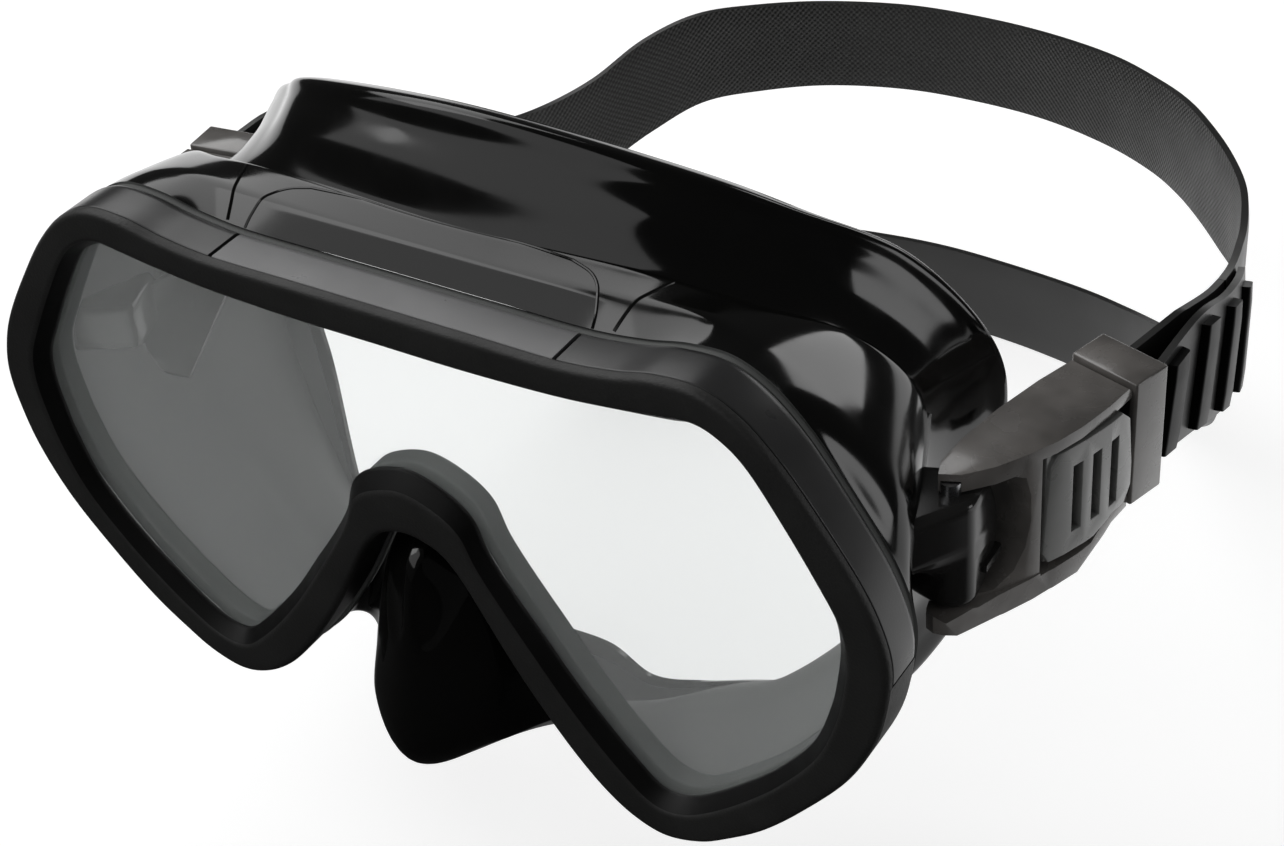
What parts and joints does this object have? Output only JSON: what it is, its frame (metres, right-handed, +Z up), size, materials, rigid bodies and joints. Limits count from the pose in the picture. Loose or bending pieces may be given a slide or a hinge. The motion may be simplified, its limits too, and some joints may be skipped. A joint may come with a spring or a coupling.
{
  "type": "snorkel mask",
  "caption": "Snorkel mask with one wide lens, a moulded frame, a soft skirt with a nose pocket, swivelling quick-release buckles and a split head strap.",
  "frame": {"origin": "middle of the opening that seals on the wearer's face, in the plane of symmetry", "axes": "-Y is the way the lens faces, +Y is back through the head, +Z is up, +X is the wearer's left"},
  "size_m": [0.1811, 0.2104, 0.1345],
  "materials": {
    "bezel": "fine-textured matte moulded plastic",
    "frame_black": "plain moulded plastic",
    "cover_grey": "satin dark grey plastic",
    "cover_dark": "satin charcoal plastic",
    "lens_glass": "clear tempered glass, polished edge hidden in the frame",
    "silicone": "glossy black liquid silicone",
    "strap_rubber": "black silicone, inner face finely dotted",
    "buckle": "black moulded nylon, satin",
    "lever": "gloss black moulded plastic",
    "roller": "black acetal",
    "pin_steel": "stainless steel"
  },
  "bodies": {
    "mask": {"bezel": "bezel", "rear_frame": "frame_black", "brow_cover": "cover_grey", "side_cover_left": "cover_dark", "side_cover_right": "cover_dark", "lens": "lens_glass", "skirt": "silicone", "strap": "strap_rubber"},
    "buckle_left": {"buckle_body_left": "buckle", "strap_guide_left": "buckle", "lug_pin_left": "pin_steel", "lever_pin_left": "pin_steel", "roller_pin_left": "pin_steel"},
    "buckle_right": {"buckle_body_right": "buckle", "strap_guide_right": "buckle", "lug_pin_right": "pin_steel", "lever_pin_right": "pin_steel", "roller_pin_right": "pin_steel"},
    "lever_left": {"release_lever_left": "lever"},
    "lever_right": {"release_lever_right": "lever"},
    "roller_left": {"strap_roller_left": "roller"},
    "roller_right": {"strap_roller_right": "roller"}
  },
  "joints": [
    {"name": "buckle_swivel_left", "type": "hinge", "parent": "mask", "child": "buckle_left", "pos_m": [-0.07638, -0.02472, 0], "axis": [0, 0, 1], "range_deg": [-2, 20], "deforming": ["strap"]},
    {"name": "buckle_swivel_right", "type": "hinge", "parent": "mask", "child": "buckle_right", "pos_m": [0.07699, -0.0244, 0], "axis": [0, 0, -1], "range_deg": [-8, 20], "deforming": ["strap"]},
    {"name": "lever_hinge_left", "type": "hinge", "parent": "buckle_left", "child": "lever_left", "pos_m": [-0.08107, -0.01038, 0], "axis": [0, 0, 1], "range_deg": [0, 12], "stiffness_Nm_per_rad": 0.02},
    {"name": "lever_hinge_right", "type": "hinge", "parent": "buckle_right", "child": "lever_right", "pos_m": [0.08409, -0.0111, 0], "axis": [0, 0, -1], "range_deg": [0, 12], "stiffness_Nm_per_rad": 0.02},
    {"name": "roller_spin_left", "type": "hinge", "parent": "buckle_left", "child": "roller_left", "pos_m": [-0.07965, 0.00108, 0], "axis": [0, 0, 1], "continuous": true},
    {"name": "roller_spin_right", "type": "hinge", "parent": "buckle_right", "child": "roller_right", "pos_m": [0.08468, 0.00044, 0], "axis": [0, 0, 1], "continuous": true}
  ]
}
